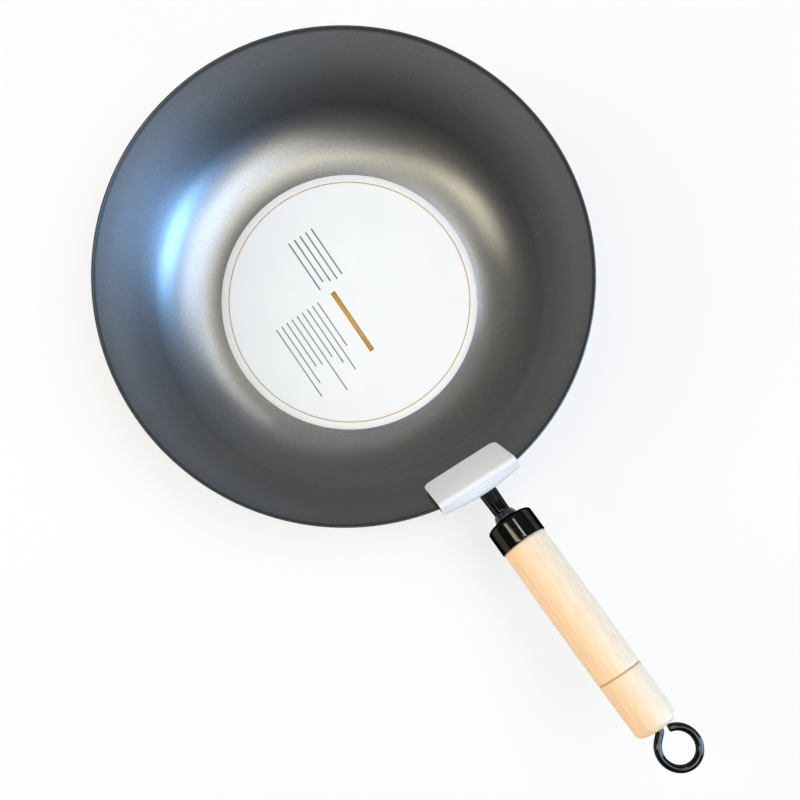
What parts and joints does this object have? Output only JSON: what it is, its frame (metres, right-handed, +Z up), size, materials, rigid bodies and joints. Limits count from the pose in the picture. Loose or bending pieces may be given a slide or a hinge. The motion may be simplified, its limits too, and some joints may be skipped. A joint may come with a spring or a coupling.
{
  "type": "frying pan",
  "caption": "Deep round stir-fry pan with sloping nonstick walls, a riveted neck, a turned wooden grip with a hanging eye, a clip over the rim and a loose card disc.",
  "frame": {"origin": "centre of the flat underside of the bowl, on the surface that the pan stands on", "axes": "+Z up out of the bowl, +X along the handle, seen from above, +Y to the left of someone looking along the handle from the bowl"},
  "size_m": [0.5072, 0.305, 0.0942],
  "materials": {
    "nonstick": "satin charcoal nonstick coating on carbon steel",
    "black_enamel": "gloss black enamel on steel",
    "steel": "plain steel",
    "white_plastic": "satin white moulded plastic",
    "wood": "pale varnished hardwood, turned",
    "card": "white coated card"
  },
  "bodies": {
    "pan": {"pan_body": "nonstick", "handle_bracket": "black_enamel", "rivet_1": "steel", "rivet_2": "steel", "rivet_3": "steel", "neck_collar": "steel", "ferrule": "black_enamel", "ferrule_pin": "steel", "grip": "wood"},
    "card": {"card_insert": "card"},
    "guard": {"rim_guard": "white_plastic"},
    "eye_rod": {"hanging_rod": "black_enamel"}
  },
  "joints": [
    {"name": "card_lift", "type": "slide", "parent": "pan", "child": "card", "axis": [0, 0, 1], "range_m": [0, 0.12]},
    {"name": "guard_pull", "type": "slide", "parent": "pan", "child": "guard", "axis": [0.3922, -0.013, 0.9198], "range_m": [0, 0.04]},
    {"name": "eye_turn", "type": "hinge", "parent": "pan", "child": "eye_rod", "pos_m": [0.326, 0, 0.08146], "axis": [0.9724, 0, 0.2334], "range_deg": [0, 360]}
  ]
}
